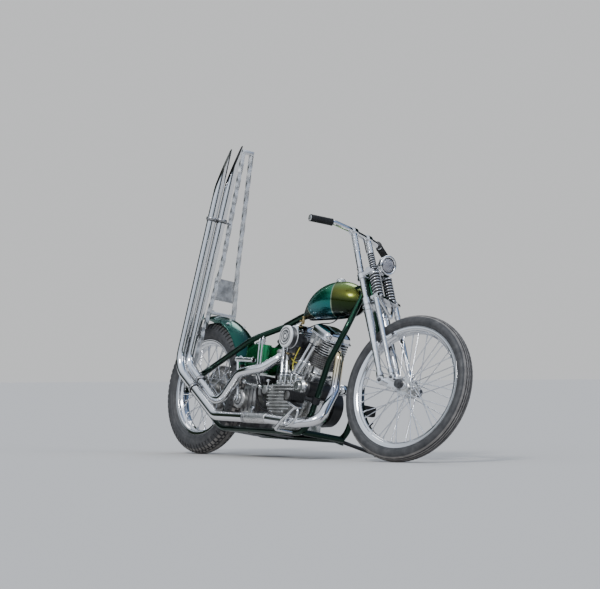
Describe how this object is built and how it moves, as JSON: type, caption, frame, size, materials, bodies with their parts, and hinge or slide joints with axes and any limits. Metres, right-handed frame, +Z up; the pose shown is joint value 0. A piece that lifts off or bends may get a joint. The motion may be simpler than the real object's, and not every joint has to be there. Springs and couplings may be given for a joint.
{
  "type": "chopper motorcycle",
  "caption": "Rigid-framed custom chopper with an open V-twin, a long springer fork, high handlebar, tall sissy bar and upswept slash-cut pipes.",
  "frame": {"origin": "centre of the whole box's foot, on the ground", "axes": "+X towards the front of the machine, +Y to the rider's left, +Z up"},
  "size_m": [2.2446, 0.6602, 1.5401],
  "materials": {
    "frame_paint": "gloss",
    "tank_paint": "gloss",
    "fender_paint": "gloss",
    "oil_tank_paint": "gloss",
    "chrome": "polished",
    "dark_steel": "satin",
    "steel": "satin",
    "engine_alloy": "satin",
    "cylinder_iron": "satin",
    "tyre": "matte",
    "black_rubber": "matte",
    "lens": "gloss"
  },
  "bodies": {
    "frame": {"frame": "frame_paint", "rear_axle": "dark_steel", "chain": "steel", "fuel_tank": "tank_paint", "fuel_cap": "chrome", "oil_tank": "oil_tank_paint", "oil_lines": "chrome", "rear_fender": "fender_paint", "sissy_bar": "chrome", "plate_bracket": "dark_steel", "crankcase": "engine_alloy", "cam_cover": "engine_alloy", "cylinders": "cylinder_iron", "cylinder_heads": "engine_alloy", "rocker_covers": "chrome", "pushrod_tubes": "chrome", "carburettor": "engine_alloy", "air_cleaner": "chrome", "generator": "dark_steel", "front_exhaust": "chrome", "rear_exhaust": "chrome", "pipe_clamps": "chrome", "gearbox": "engine_alloy", "kick_starter": "chrome", "primary_cover": "chrome", "footpegs": "black_rubber", "brake_pedal": "dark_steel"},
    "rear_wheel": {"rear_tyre": "tyre", "rear_rim": "chrome", "rear_sprocket": "steel"},
    "fork": {"fork_crowns": "chrome", "fork_rear_legs": "chrome", "fork_front_legs": "chrome", "fork_springs": "chrome", "fork_rockers": "chrome", "front_axle": "dark_steel", "risers": "chrome", "handlebar": "chrome", "grips": "black_rubber", "headlight": "chrome", "headlight_lens": "lens"},
    "front_wheel": {"front_tyre": "tyre", "front_rim": "chrome"},
    "side_stand": {"side_stand": "dark_steel"}
  },
  "joints": [
    {"name": "rear_wheel_spin", "type": "hinge", "parent": "frame", "child": "rear_wheel", "pos_m": [-0.79034, -0.06109, 0.32793], "axis": [0, 0.9854, -0.1702], "continuous": true},
    {"name": "steering", "type": "hinge", "parent": "frame", "child": "fork", "pos_m": [0.49193, 0.00505, 0.71087], "axis": [-0.4677, 0.1504, 0.871], "range_deg": [-31, 0]},
    {"name": "front_wheel_spin", "type": "hinge", "parent": "fork", "child": "front_wheel", "pos_m": [0.79087, -0.03755, 0.32731], "axis": [-0.2362, 0.9283, -0.2872], "continuous": true},
    {"name": "side_stand", "type": "hinge", "parent": "frame", "child": "side_stand", "pos_m": [0.18421, 0.04069, 0.07702], "axis": [0.0991, 0.3365, 0.9365], "range_deg": [0, 93]}
  ]
}
